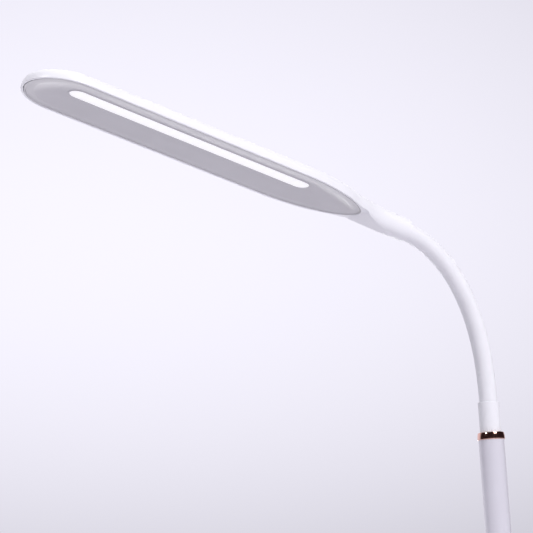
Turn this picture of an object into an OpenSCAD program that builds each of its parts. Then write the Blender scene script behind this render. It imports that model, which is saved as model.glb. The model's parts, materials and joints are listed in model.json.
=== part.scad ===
// Gooseneck desk lamp: a slim light head on a flexible neck, a straight pole and a round weighted base.
// Millimetres, +Z up. The origin is the centre of the base where it meets the desk.
// The pole stands behind the centre, on +X, and the head reaches over the front, towards -X.

/* [Base] */
// Diameter of the round base
base_d = 180; // [160:1:220]
// Height of the base above the desk
base_h = 22; // [21:0.5:30]
// Wall of the base cover
cover_t = 2.2; // [1.6:0.1:2.8]
// Radius of the cover's upper edge
cover_edge_r = 7; // [3:0.5:10]
// Diameter of the iron weight
weight_d = 148; // [140:1:150]
// Thickness of the iron weight
weight_h = 11; // [10.5:0.5:14]
// Thickness of the steel bottom plate
plate_t = 2; // [1:0.5:3]
// Diameter of the rubber foot pad
foot_d = 156; // [140:1:164]
// Thickness of the rubber foot pad
foot_h = 2; // [1:0.5:4]

/* [Button and electrics] */
// Distance of the button in front of the base's centre
button_x = 40; // [34:1:46]
// Diameter of the power button
button_d = 14; // [10:0.5:18]
// Height of the button above the cover
button_proud = 1; // [0.6:0.1:2]
// Travel of the button
button_travel = 1; // [0.5:0.1:1]
// Length of the control board
board_l = 60; // [54:1:64]
// Width of the control board
board_w = 34; // [32:1:40]
// Diameter of the power inlet's bore
inlet_bore_d = 5.6; // [5.5:0.1:6.4]
// Diameter of the power inlet's pin
inlet_pin_d = 2.1; // [2:0.1:2.5]

/* [Pole] */
// Distance of the pole behind the base's centre
pole_x = 45; // [36:1:54]
// Outer diameter of the pole
pole_d = 18; // [17:0.5:22]
// Wall of the pole tube
pole_t = 1.5; // [1:0.1:2]
// Height of the pole's upper end above the desk
pole_top_z = 300; // [220:1:420]
// Outer diameter of the metal ring
ring_d = 19.1; // [18.5:0.1:24]
// Height of the metal ring
ring_h = 5; // [3:0.5:8]
// Outer diameter of the neck's lower ferrule
ferrule_d = 14.8; // [14.6:0.1:17]
// Height of the ferrule above the ring
ferrule_h = 21.3; // [18:0.1:40]

/* [Neck] */
// Outer diameter of the neck's silicone sleeve
neck_d = 12.7; // [12:0.1:12.8]
// Wall of the silicone sleeve
sleeve_t = 1.6; // [1.2:0.1:1.9]
// Bore of the steel core
core_bore_d = 5.4; // [5:0.1:6]
// Length of the neck between the ferrule and the head
neck_len = 143.8; // [130:0.1:180]
// Bend of the neck at rest, from upright to the line of the head
neck_bend = 75.3; // [60:0.1:100]
// Bend of the first segment as a share of the bend of the last
bend_ratio = 0.23; // [0.1:0.01:1]

/* [Head] */
// Length of the recessed underside, from its neck end to its tip
rim_len = 257.6; // [230:0.1:320]
// Width of the recessed underside
rim_w = 53.8; // [46:0.1:60]
// Distance from the collar to the neck end of the recess
neck_to_rim = 41.4; // [40:0.1:60]
// Length of the rounded tip
tip_len = 27.1; // [20:0.1:40]
// Length of the taper towards the neck
taper_len = 60.9; // [50:0.1:80]
// Wall of the moulded shell
shell_t = 1.1; // [0.9:0.1:1.2]
// Width of the shell's lip outside the recess
lip_w = 1.6; // [1.5:0.1:2.4]
// Height of the shell above the neck's axis, at the middle of the head
crown_h = 10.2; // [9.5:0.1:14]
// Height of the shell above the neck's axis, at the tip
tip_h = 9.2; // [9:0.1:12]
// Depth of the rim below the neck's axis
rim_drop = 1.4; // [0.8:0.1:2]
// Outer diameter of the collar where the neck enters
collar_d = 16; // [15.8:0.1:17.4]
// Height of the collar's middle above the neck's axis
collar_rise = 1; // [0.6:0.1:1.2]
// Depth from the rim to the lit strip
strip_depth = 4.8; // [4.4:0.1:5.4]
// Width of the lit strip
strip_w = 12.2; // [9:0.1:14]
// Distance from the recess's neck end to the strip
strip_start = 43.8; // [42:0.1:56]
// Distance from the strip to the recess's tip
strip_margin = 29.4; // [24:0.1:40]

/* [Hidden] */
$fn = 64;

// clearances
slide_gap = 0.2;      // pieces that move past each other
seat_gap = 0.05;      // pieces glued or clamped together
press_gap = 0.02;     // pieces pressed or screwed together
ball_gap = 0.3;       // between a neck segment's ball and the next one's socket
tiny = 0.01;

// ---- heights in the base ----
plate_z = foot_h;
weight_z = plate_z + plate_t;
weight_top = weight_z + weight_h;
cover_in_z = base_h - cover_t;
cover_r = base_d / 2;
cover_in_r = cover_r - cover_t;
cover_in_edge_r = max(0.5, cover_edge_r - cover_t);
boss_r = 62;                      // circle of the four cover bosses
boss_d = 8;
boss_shoulder_d = 12;
boss_angles = [45, 135, 225, 315];
boss_gap = 0.4;                   // round a boss in the weight
screw_d = 3;
screw_shank_d = 2.5;              // inside the thread
screw_pilot_d = 2.6;
screw_head_d = 5.6;
screw_head_h = 1.2;
screw_len = 10;

// ---- control board in its pocket in the weight ----
pocket_floor = weight_z + 6;
pocket_gap = 2;
post_h = 2;
post_d = 5;
post_bore = 4;
board_t = 1.6;
board_z = pocket_floor + post_h;
board_top = board_z + board_t;
board_end = -1;                   // the board's end that faces the pole
board_mid = board_end - board_l / 2;
board_hole_in = 3.4;              // from the board's edge to its screws
small_screw_d = 2.2;
small_head_d = 4;
small_head_h = 1.4;
small_screw_len = 5;
term_l = 8;
term_w = 6;
term_h = 5;
inlet_side = 7;                   // sideways place of the inlet lead's terminal
// chips, as [along and across from the board's middle, length, width, height]
chips = [[15.5, -10, 5, 4, 1.6], [-21, 7, 6, 4, 1.8]];
// coil and capacitor, as [along and across from the board's middle, diameter, height]
cans = [[10, 3, 7, 3.6], [-21, -9, 6.3, 4.6]];

// ---- switch and button ----
switch_w = 8.5;
switch_h = 4;
switch_floor = 0.4;
switch_top = board_top + switch_h;
plunger_d = 3.2;
flange_t = 0.9;
flange_over = 1.3;
flange_top = cover_in_z - slide_gap;
flange_bottom = flange_top - flange_t;
button_top = base_h + button_proud;
socket_depth = 1.2;
plunger_top = flange_bottom + socket_depth;
plunger_bottom = board_top + switch_floor + button_travel + slide_gap;
dish_depth = 0.5;
dish_r = 2 * button_d;

// ---- power inlet at the back ----
inlet_l = 13;
inlet_w = 9.2;
inlet_h = 10.4;
inlet_bush_d = 8;
inlet_depth = 9;
inlet_z = weight_z + 5.4;
inlet_front = cover_in_r - 2 * slide_gap;
inlet_face = cover_r - 2 * slide_gap;
inlet_back = inlet_front - inlet_l;
inlet_notch_l = 12;               // free length behind the inlet, for its lead
inlet_notch_w = inlet_w + 4;

// ---- pole ----
pole_r = pole_d / 2;
pole_in_r = pole_r - pole_t;
plug_h = 23;
plug_bore_d = 7;
plug_floor = 0.8;
stud_d = 10;
stud_up = 0.8;                    // the stud's end above the bottom plate
stud_hole_d = stud_d + 2 * slide_gap;
web_h = 4.5;                      // weight left above the nut's pocket
nut_pocket_d = 24;
washer_d = 20;
washer_h = 1.2;
nut_af = 16;
nut_h = 4;
washer_top = weight_top - web_h;
lead_window_w = 4.2;
lead_window_h = 9;
ferrule_bore_d = neck_d + 0.3;
bush_len = 18;
bush_neck_d = ferrule_bore_d;
bush_tip_h = 8;
bush_tip_d = ferrule_bore_d - 2 * slide_gap;
set_screw_z = pole_top_z - 10;
set_screw_hex_d = 1.5;
set_screw_hex_from = 1.2;
ring_edge_r = min(0.9, ring_h / 3);
ferrule_edge_r = 0.6;
ferrule_z = pole_top_z + ring_h;
neck_z = ferrule_z + ferrule_h;

// ---- flexible neck: straight segments joined by balls; the first and last show half a segment ----
links = 13;
joints = links - 1;
pitch = neck_len / joints;
neck_r = neck_d / 2;
sleeve_in_r = neck_r - sleeve_t;
core_r = sleeve_in_r - seat_gap;
core_bore_r = core_bore_d / 2;
sleeve_tail = 12;                 // sleeve inside the ferrule
core_tail = 34;                   // core inside the ferrule, the ring and the pole
head_sleeve_tail = 5;             // sleeve inside the head's collar
head_core_tail = 14;
anchor_z = head_sleeve_tail + 0.3;
anchor_len = 8;
weight_sum = joints * (bend_ratio + 1) / 2;
function bend_at(j) = neck_bend * mix(bend_ratio, 1, (j - 1) / (joints - 1)) / weight_sum;
function lean(i) = i <= 0 ? 0 : lean(i - 1) + bend_at(i);
function along(a) = [-sin(a), 0, cos(a)];
function seen_len(i) = i == 0 || i == links - 1 ? pitch / 2 : pitch;
function link_start(i) = i == 0
  ? [pole_x, 0, neck_z]
  : link_start(i - 1) + seen_len(i - 1) * along(lean(i - 1));
head_at = link_start(links);
head_lean = neck_bend;

// ---- head, in its own frame: +X up through the shell, +Z from the collar to the tip ----
collar_r = collar_d / 2;
rim_hw = rim_w / 2;
rim_start = neck_to_rim;
taper_end = rim_start + taper_len;
tip_start = rim_start + rim_len - tip_len;
taper_pow = 1.83;
tip_pow = 1.94;
head_pow = 2.9;
body_pow = 1.29;                  // outline of the body between the collar and the recess's full width
nose_len = 26;                    // the body's outline starts this far before the recess
edge_blend = 1.5;                 // soft change from the body's outline to the recess's
collar_blend = 4;                 // soft change from the collar to the body
rise_start = 11.4;                // the crown rises from here to its full height
rise_len = 23.9;
boxy_start = rim_start - 4;       // the section turns from round to flat-sided from here
boxy_len = 26;
facet_len = 27;                   // length of the flat that runs from the recess's end into the round collar
facet_pow = 0.7;
arc_steps = 12;                   // steps of a shell section from its crease to its top
taper_rows = 10;
side_rows = 5;
tip_rows = 16;
neck_steps = 7;
crease_min = 7.2;                 // half angle of the last flat left at the collar
flat_share = cos(crease_min);     // a round section's flat lies this share of its radius from its middle
bore_end = head_core_tail;        // the collar's round bore holds the neck up to here
bore_r = (neck_r + seat_gap) / flat_share;
bore_ramp = 8;                    // from the bore to the shell's even wall
tray_gap = 0.45;                  // dark groove between the shell's lip and the tray
tray_t = 1;
bead_over = 0.15;                 // the tray's bead snaps over the shell's inner lip
bead_gap = 0.1;
bead_slope = 0.2;
tray_wall_t = 0.8;                // upright wall along the shell's lip
tray_wall_h = 1.1;
border_w = 5;                     // even border inside the tray's edge, before the dish
border_rise = 0.5;
bezel_w = 1;
bezel_h = 0.35;
bezel_drop = 0.4;                 // the slot's edge below the lit face
ledge_w = 4.2;                    // flat round the slot, on the tray's upper side
ledge_rise = 0.65;
dish_steps = 6;
strip_n = strip_depth - rim_drop; // height of the lit face above the neck's axis
bezel_n = strip_n - bezel_drop;
ledge_n = strip_n + ledge_rise;
lip_top = shell_t - rim_drop;
dish_end_n = bezel_n + bezel_h;
border_n = border_rise - rim_drop;
light_n = ledge_n + seat_gap;     // underside of what lies on the ledge
strip_r = strip_w / 2;
strip_from = rim_start + strip_start;
strip_to = rim_start + rim_len - strip_margin;
strip_mid = (strip_from + strip_to) / 2;
strip_l = strip_to - strip_from;
flange_w = 1.6;
diffuser_flange_t = 0.6;
frame_gap = 0.15;
frame_t = 1.4;
frame_h = 1.35;
led_board_t = 0.8;
led_board_n = light_n + frame_h;
bar_hw = strip_r + flange_w + frame_gap + frame_t;
bar_over = 8;                     // board and heat plate past the strip's ends
heat_t = 0.8;
heat_n = led_board_n + led_board_t;
heat_top = heat_n + heat_t;
led_w = 3.5;
led_l = 2.8;
led_h = 0.6;
led_count = 24;
light_screw_out = 3;              // from the frame's end to the screw
light_boss_d = 4.6;
light_screw_d = 1.8;
light_screw_shank_d = 1.7;
light_head_d = 3.4;
light_head_h = 0.4;
terminal_l = 9;
terminal_w = 7;
terminal_face = strip_from - bar_over - terminal_l;

// ---- leads ----
lead_d = 2.6;
inlet_lead_d = 2.4;
lead_sides = 8;
lead_z = weight_top + 2.4;        // centre of a lead that lies on the weight
rise_z = lead_z + 13;             // the lead is on the pole's axis from here

// a share kept between 0 and 1, and a smooth step between them
function within(t) = min(1, max(0, t));
function ease(t) = let(k = within(t)) k * k * (3 - 2 * k);
function mix(a, b, t) = a + (b - a) * t;
// the larger of two sizes, with a soft change over k
function soft_max(a, b, k) = max(a, b) + pow(max(k - abs(a - b), 0), 2) / (4 * k);
function signed_pow(v, e) = sign(v) * pow(abs(v), e);

// ================= base =================

module foot_pad() {
  color("dimgray") cylinder(h = foot_h, d = foot_d);
}

// what a rounded corner of radius r takes off a half section, seen from the corner's centre;
// up is 1 for an upper corner and -1 for a lower one
module corner_off(r, up = 1) {
  difference() {
    translate([0, up > 0 ? 0 : -r - 1]) square(r + 1);
    circle(r);
  }
}

module at_bosses() {
  for (a = boss_angles) rotate([0, 0, a]) translate([boss_r, 0, 0]) children();
}

module base_plate() {
  color("gray") difference() {
    translate([0, 0, plate_z]) cylinder(h = plate_t, r = cover_in_r - slide_gap);
    at_bosses() {
      translate([0, 0, plate_z - 1]) cylinder(h = plate_t + 2, d = screw_d + 2 * slide_gap);
      translate([0, 0, plate_z - tiny])
        cylinder(h = screw_head_h + slide_gap, d = screw_head_d + 2 * slide_gap);
    }
  }
}

module plate_screws() {
  color("silver") at_bosses() {
    translate([0, 0, plate_z + slide_gap / 2]) cylinder(h = screw_head_h, d = screw_head_d);
    translate([0, 0, plate_z + slide_gap / 2 + screw_head_h - tiny])
      cylinder(h = screw_len - screw_head_h, d = screw_shank_d);
  }
}

module board_pocket() {
  l = board_l + 2 * pocket_gap;
  w = board_w + 2 * pocket_gap;
  translate([board_mid - l / 2, -w / 2, pocket_floor]) cube([l, w, weight_h]);
}

module at_board_screws() {
  hole_x = board_l / 2 - board_hole_in;
  hole_y = board_w / 2 - board_hole_in;
  for (x = [-hole_x, hole_x], y = [-hole_y, hole_y]) translate([board_mid + x, y, 0]) children();
}

module base_weight() {
  color("darkslategray") difference() {
    union() {
      difference() {
        translate([0, 0, weight_z]) cylinder(h = weight_h, d = weight_d);
        board_pocket();
        // the inlet and its lead stand in a notch at the back
        translate([inlet_back - inlet_notch_l, -inlet_notch_w / 2, weight_z - 1])
          cube([weight_d, inlet_notch_w, weight_h + 2]);
      }
      at_board_screws() translate([0, 0, pocket_floor - tiny]) cylinder(h = post_h + tiny, d = post_d);
    }
    at_board_screws() translate([0, 0, board_z - post_bore])
      cylinder(h = post_bore + 1, d = small_screw_d + 2 * seat_gap);
    at_bosses() translate([0, 0, weight_z - 1]) cylinder(h = weight_h + 2, d = boss_d + 2 * boss_gap);
    translate([pole_x, 0, weight_z - 1]) {
      cylinder(h = weight_h + 2, d = stud_hole_d);
      cylinder(h = washer_top - weight_z + 1, d = nut_pocket_d);
    }
  }
}

// half section of a disc with a rounded upper edge
module disc_profile(r, h, edge) {
  difference() {
    square([r, h]);
    translate([r - edge, h - edge]) corner_off(edge);
  }
}

module base_cover() {
  color("white") difference() {
    union() {
      rotate_extrude() difference() {
        disc_profile(cover_r, base_h, cover_edge_r);
        disc_profile(cover_in_r, cover_in_z, cover_in_edge_r);
        translate([0, -1]) square([cover_r + 1, plate_z + 1]);
      }
      at_bosses() {
        translate([0, 0, weight_z + seat_gap])
          cylinder(h = cover_in_z - weight_z + 1, d = boss_d);
        translate([0, 0, weight_top + seat_gap])
          cylinder(h = cover_in_z - weight_top + 1, d = boss_shoulder_d);
      }
    }
    at_bosses() translate([0, 0, weight_z - 1]) cylinder(h = screw_len, d = screw_pilot_d);
    translate([pole_x, 0, weight_top]) cylinder(h = base_h, d = pole_d + 2 * slide_gap);
    translate([-button_x, 0, weight_top]) cylinder(h = base_h, d = button_d + 2 * slide_gap);
    translate([inlet_front, 0, inlet_z]) rotate([0, 90, 0])
      cylinder(h = 3 * cover_t, d = inlet_bush_d + 2 * slide_gap);
  }
}

// ================= electrics =================

module control_board() {
  color("seagreen") difference() {
    translate([board_mid - board_l / 2, -board_w / 2, board_z]) cube([board_l, board_w, board_t]);
    at_board_screws() translate([0, 0, board_z - 1])
      cylinder(h = board_t + 2, d = small_screw_d + 2 * slide_gap);
  }
}

module board_chips() {
  color("dimgray") {
    // terminals of the two leads
    for (y = [0, inlet_side])
      translate([board_end - term_l, y - term_w / 2, board_top]) cube([term_l, term_w, term_h]);
    for (c = chips)
      translate([board_mid + c[0] - c[2] / 2, c[1] - c[3] / 2, board_top]) cube([c[2], c[3], c[4]]);
    for (c = cans) translate([board_mid + c[0], c[1], board_top]) cylinder(h = c[3], d = c[2]);
  }
}

module board_screws() {
  color("silver") at_board_screws() {
    translate([0, 0, board_top]) cylinder(h = small_head_h, d = small_head_d);
    translate([0, 0, board_top - small_screw_len + tiny]) cylinder(h = small_screw_len, d = small_screw_d);
  }
}

module inlet_socket() {
  color("dimgray") {
    difference() {
      union() {
        translate([inlet_back, -inlet_w / 2, weight_z]) cube([inlet_l, inlet_w, inlet_h]);
        translate([inlet_front - tiny, 0, inlet_z]) rotate([0, 90, 0])
          cylinder(h = inlet_face - inlet_front + tiny, d = inlet_bush_d);
      }
      translate([inlet_face - inlet_depth, 0, inlet_z]) rotate([0, 90, 0])
        cylinder(h = inlet_depth + 1, d = inlet_bore_d);
    }
    translate([inlet_face - inlet_depth - tiny, 0, inlet_z]) rotate([0, 90, 0])
      cylinder(h = inlet_depth - 1, d = inlet_pin_d);
  }
}

module switch_body() {
  color("black") difference() {
    translate([-button_x - switch_w / 2, -switch_w / 2, board_top]) cube([switch_w, switch_w, switch_h]);
    translate([-button_x, 0, board_top + switch_floor]) cylinder(h = switch_h, d = plunger_d + slide_gap);
  }
}

module switch_plunger() {
  color("white") translate([-button_x, 0, plunger_bottom])
    cylinder(h = plunger_top - plunger_bottom, d = plunger_d);
}

module power_button() {
  color("white") translate([-button_x, 0, 0]) difference() {
    union() {
      translate([0, 0, flange_bottom]) cylinder(h = flange_t, d = button_d + 2 * flange_over);
      translate([0, 0, flange_bottom]) cylinder(h = button_top - flange_bottom, d = button_d);
    }
    translate([0, 0, flange_bottom - 1]) cylinder(h = socket_depth + 1, d = plunger_d + 2 * press_gap);
    // finger dish
    translate([0, 0, button_top + dish_r - dish_depth]) sphere(r = dish_r);
  }
}

// ================= pole =================

module pole() {
  color("white") difference() {
    translate([pole_x, 0, weight_top]) cylinder(h = pole_top_z - weight_top, r = pole_r);
    translate([pole_x, 0, weight_top - 1]) cylinder(h = pole_top_z, r = pole_in_r);
    // notch for the lead, hidden by the cover
    translate([pole_x - pole_d, -lead_window_w / 2, weight_top - 1])
      cube([pole_d, lead_window_w, base_h - slide_gap - weight_top + 1]);
  }
}

module pole_plug() {
  color("silver") difference() {
    union() {
      translate([pole_x, 0, weight_top]) cylinder(h = plug_h, r = pole_in_r - seat_gap);
      translate([pole_x, 0, weight_z + stud_up]) cylinder(h = weight_h, d = stud_d);
    }
    translate([pole_x, 0, weight_top + plug_floor]) cylinder(h = plug_h, d = plug_bore_d);
    translate([pole_x - pole_d, -lead_window_w / 2, weight_top + plug_floor])
      cube([pole_d, lead_window_w, lead_window_h]);
  }
}

module pole_washer() {
  color("silver") translate([pole_x, 0, washer_top - washer_h]) difference() {
    cylinder(h = washer_h, d = washer_d);
    translate([0, 0, -1]) cylinder(h = washer_h + 2, d = stud_hole_d);
  }
}

module pole_nut() {
  color("silver") translate([pole_x, 0, washer_top - washer_h - nut_h]) difference() {
    cylinder(h = nut_h, d = nut_af / cos(30), $fn = 6);
    translate([0, 0, -1]) cylinder(h = nut_h + 2, d = stud_d + 2 * press_gap);
  }
}

module pole_bush() {
  color("silver") translate([pole_x, 0, 0]) difference() {
    union() {
      translate([0, 0, pole_top_z - bush_len]) cylinder(h = bush_len, r = pole_in_r - seat_gap);
      translate([0, 0, pole_top_z - tiny]) cylinder(h = ring_h + tiny, d = bush_neck_d);
      translate([0, 0, ferrule_z - tiny]) cylinder(h = bush_tip_h + tiny, d = bush_tip_d);
    }
    translate([0, 0, pole_top_z - bush_len - 1]) cylinder(h = neck_z, r = core_r + seat_gap);
    translate([0, 0, set_screw_z]) rotate([0, 90, 0]) cylinder(h = pole_r, d = screw_d + 2 * press_gap);
  }
}

module bush_set_screw() {
  from = core_r + seat_gap;
  to = pole_in_r - slide_gap;
  color("dimgray") translate([pole_x + from, 0, set_screw_z]) rotate([0, 90, 0])
    difference() {
      cylinder(h = to - from, d = screw_d);
      translate([0, 0, set_screw_hex_from]) cylinder(h = to, d = set_screw_hex_d / cos(30), $fn = 6);
    }
}

module accent_ring() {
  bore_r = bush_neck_d / 2 + seat_gap;
  corner_r = ring_d / 2 - ring_edge_r;
  color("rosybrown") translate([pole_x, 0, pole_top_z]) rotate_extrude() difference() {
    translate([bore_r, 0]) square([ring_d / 2 - bore_r, ring_h]);
    translate([corner_r, ring_edge_r]) corner_off(ring_edge_r, -1);
    translate([corner_r, ring_h - ring_edge_r]) corner_off(ring_edge_r);
  }
}

module neck_ferrule() {
  color("whitesmoke") translate([pole_x, 0, ferrule_z]) rotate_extrude() difference() {
    translate([ferrule_bore_d / 2, 0]) square([(ferrule_d - ferrule_bore_d) / 2, ferrule_h]);
    translate([ferrule_d / 2 - ferrule_edge_r, ferrule_h - ferrule_edge_r]) corner_off(ferrule_edge_r);
  }
}

// ================= flexible neck =================

// puts its children at the start of segment i, with +Z along the neck and +X on the outside of the bend
module at_link(i) {
  translate(link_start(i)) rotate([0, -lean(i), 0]) children();
}

// one segment of the neck between two radii: it starts in a socket round the last segment's ball and
// ends in a ball of the neck's own radius; the first has a straight tail below, the last one above
module neck_segment(i, r_out, r_in, low_tail, high_tail) {
  first = i == 0;
  last = i == links - 1;
  from = first ? -low_tail : 0;
  to = seen_len(i) + (last ? high_tail : 0);
  at_link(i) rotate_extrude() difference() {
    union() {
      translate([r_in, from]) square([r_out - r_in, to - from]);
      if (!last) intersection() {
        translate([0, to]) circle(neck_r);
        translate([r_in, to - tiny]) square([r_out - r_in, neck_r + 1]);
      }
    }
    if (!first) circle(neck_r + ball_gap);
  }
}

module sleeve(i) {
  color("whitesmoke") neck_segment(i - 1, neck_r, sleeve_in_r, sleeve_tail, head_sleeve_tail);
}

module core(i) {
  color("silver") neck_segment(i - 1, core_r, core_bore_r, core_tail, head_core_tail);
}

// ================= head =================

module in_head() {
  translate(head_at) rotate([0, -head_lean, 0]) children();
}

// outline of the recess moved out by d, as [sideways, along]: the taper by its angle from the neck end,
// and the tip by its angle round the end
function taper_point(angle, d) = [
  (rim_hw + d) * pow(cos(angle), 2 / taper_pow),
  taper_end - (taper_len + d) * pow(sin(angle), 2 / taper_pow)
];
function tip_point(angle, d) = [
  (rim_hw + d) * signed_pow(cos(angle), 2 / tip_pow),
  tip_start + (tip_len + d) * pow(sin(angle), 2 / tip_pow)
];
function taper_angle(j) = 90 * (1 - j / taper_rows);
function side_at(j) = mix(taper_end, tip_start, j / side_rows);

// half width of the rim and of the shell at a place along the head
function rim_half(z) = z <= rim_start ? 0
  : z >= taper_end ? rim_hw
  : rim_hw * pow(1 - pow((taper_end - z) / taper_len, taper_pow), 1 / taper_pow);
function body_half(z) =
  (rim_hw + lip_w - edge_blend)
  * pow(1 - pow(within((taper_end - z) / (taper_len + nose_len)), body_pow), 1 / body_pow);
function edge_half(z) = soft_max(body_half(z), z > rim_start ? rim_half(z) + lip_w : 0, edge_blend);

// a skin of the shell is 0 outside and 1 inside; inside, a round bore turns into an even wall
function even(z, skin) = skin == 0 ? 1 : within((z - bore_end) / bore_ramp);
function skin_size(z, skin, bore_size, size) = mix(bore_size, size - skin * shell_t, even(z, skin));
function half_of(z, skin) = skin_size(z, skin, bore_r, soft_max(collar_r, edge_half(z), collar_blend));
function top_of(z, skin) =
  let(
    full_h = mix(crown_h, tip_h, within((z - taper_end) / (tip_start - taper_end))),
    rise = ease((z - rise_start) / rise_len)
  )
  skin_size(z, skin, bore_r, mix(collar_r + collar_rise, full_h, rise));
function crease_of(z, skin) =
  let(deep = pow(within((rim_start - z) / facet_len), facet_pow))
  skin_size(z, skin, bore_r * flat_share, mix(rim_drop, collar_r * flat_share - collar_rise, deep));
function boxy(z) = ease((z - boxy_start) / boxy_len);

// one section point: [height, share of the half width], step i of arc_steps from the crease to the top
function section(z, i, skin) =
  let(
    low = crease_of(z, skin),
    r = skin_size(z, skin, bore_r, collar_r),
    mid = collar_rise * even(z, skin),
    top = top_of(z, skin),
    a = mix(-asin((low + mid) / r), 90, i / arc_steps),
    round_n = mid + sin(a) * (a > 0 ? top - mid : r),
    b = 90 * i / arc_steps,
    box_n = -low + (top + low) * pow(sin(b), 2 / head_pow),
    m = boxy(z)
  )
  [mix(round_n, box_n, m), mix(cos(a), i == arc_steps ? 0 : pow(cos(b), 2 / head_pow), m)];

// rows of the shell's half sections, from the collar along one side, round the tip and back
neck_rows = [0, each [for (k = [0:neck_steps - 1]) mix(bore_end, rim_start, k / neck_steps)]];
side_z = concat(
  neck_rows,
  [for (j = [0:taper_rows]) taper_point(taper_angle(j), 0)[1]],
  [for (j = [1:side_rows]) side_at(j)]
);
sides = len(side_z);
shell_rows = 2 * sides + tip_rows - 1;
closed_rows = len(neck_rows) + 1;
function row_side(k) = k < sides ? -1 : 1;
function row_station(k) = min(k, shell_rows - 1 - k);
function is_tip(k) = row_station(k) >= sides;
function tip_angle(k) = 180 * (k - sides + 1) / tip_rows;

// a point at share g of the way from the spine to the outline of a skin, at height n
function row_point(k, g, n, skin) = is_tip(k)
  ? let(p = tip_point(tip_angle(k), lip_w - skin * shell_t)) [n, -p[0] * g, mix(tip_start, p[1], g)]
  : let(z = side_z[row_station(k)]) [n, row_side(k) * half_of(z, skin) * g, z];
function row_z(k) = is_tip(k) ? tip_start : side_z[row_station(k)];
function rim_point(k, n) = is_tip(k)
  ? let(p = tip_point(tip_angle(k), 0)) [n, -p[0], p[1]]
  : let(z = side_z[row_station(k)]) [n, row_side(k) * rim_half(z), z];

// vertices: for each skin, the arc points of every row, then the top points, then the rim or bottom points
arc_n = shell_rows * arc_steps;
skin_n = arc_n + sides + shell_rows;
function skin_points(skin) = concat(
  [for (k = [0:shell_rows - 1], i = [0:arc_steps - 1])
    let(s = section(row_z(k), i, skin)) row_point(k, s[1], s[0], skin)],
  [for (j = [0:sides - 1]) [top_of(side_z[j], skin), 0, side_z[j]]],
  [for (k = [0:shell_rows - 1]) rim_point(k, -crease_of(row_z(k), skin))]
);
function vertex(k, i, skin) = skin * skin_n + (
  i == arc_steps ? arc_n + min(row_station(k), sides - 1)
  : i >= 0 ? k * arc_steps + i
  : arc_n + sides + (row_station(k) < closed_rows ? row_station(k) : k)
);
function face(a, b, c, flip) = flip ? [c, b, a] : [a, b, c];
function quad(a, b, c, d, flip) = b == c ? [face(a, c, d, flip)]
  : c == d ? [face(a, b, c, flip)]
  : a == d ? [face(a, b, c, flip)]
  : a == b ? [face(b, c, d, flip)]
  : [face(a, b, c, flip), face(a, c, d, flip)];
function skin_faces(skin) = [
  for (k = [0:shell_rows - 2], i = [-1:arc_steps - 1])
    for (f = quad(vertex(k, i, skin), vertex(k + 1, i, skin), vertex(k + 1, i + 1, skin),
                  vertex(k, i + 1, skin), skin == 1)) f
];
function lip_faces() = [
  for (k = [closed_rows - 1:shell_rows - closed_rows - 1])
    for (f = quad(vertex(k, -1, 0), vertex(k, -1, 1), vertex(k + 1, -1, 1), vertex(k + 1, -1, 0), false)) f
];
function collar_faces() = [
  for (k = [0, shell_rows - 1], i = [-1:arc_steps - 1])
    for (f = quad(vertex(k, i, 0), vertex(k, i + 1, 0), vertex(k, i + 1, 1), vertex(k, i, 1), k > 0)) f
];

module head_shell() {
  color("white") in_head() polyhedron(
    points = concat(skin_points(0), skin_points(1)),
    faces = concat(skin_faces(0), skin_faces(1), lip_faces(), collar_faces()),
    convexity = 6
  );
}

// ---- tray: one closed profile carried round the recess ----
tray_rows = 2 * (taper_rows + side_rows) + tip_rows;
// row k of the ring: 0 is the neck end, then one side, the tip and the other side
function tray_side(k) = k <= taper_rows + side_rows || k >= taper_rows + side_rows + tip_rows;
function tray_index(k) = k <= taper_rows + side_rows ? k : tray_rows - k;
function tray_sign(k) = k <= taper_rows + side_rows ? -1 : 1;
function tray_outer(k, d) = tray_side(k)
  ? let(
      j = tray_index(k),
      p = j <= taper_rows ? taper_point(taper_angle(j), d) : [rim_hw + d, side_at(j - taper_rows)]
    ) [tray_sign(k) * p[0], p[1]]
  : let(p = tip_point(180 * (k - taper_rows - side_rows) / tip_rows, d)) [-p[0], p[1]];
function slot_outer(k, d) = tray_side(k)
  ? let(
      j = tray_index(k),
      a = max(0, taper_angle(j)),
      straight = max(0, j - taper_rows) / side_rows,
      y = (strip_r + d) * (j <= taper_rows ? cos(a) : 1),
      z = j <= taper_rows
        ? strip_from + strip_r - (strip_r + d) * sin(a)
        : mix(strip_from + strip_r, strip_to - strip_r, straight)
    ) [tray_sign(k) * y, z]
  : let(a = 180 * (k - taper_rows - side_rows) / tip_rows)
    [-(strip_r + d) * cos(a), strip_to - strip_r + (strip_r + d) * sin(a)];
function dish(v) = mix(border_n, dish_end_n, sin(90 * v));
function tray_point(k, v, n) =
  let(o = tray_outer(k, -tray_gap - tray_wall_t - border_w), s = slot_outer(k, bezel_w))
  [n, mix(o[0], s[0], v), mix(o[1], s[1], v)];
function at_n(p, n) = [n, p[0], p[1]];
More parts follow.
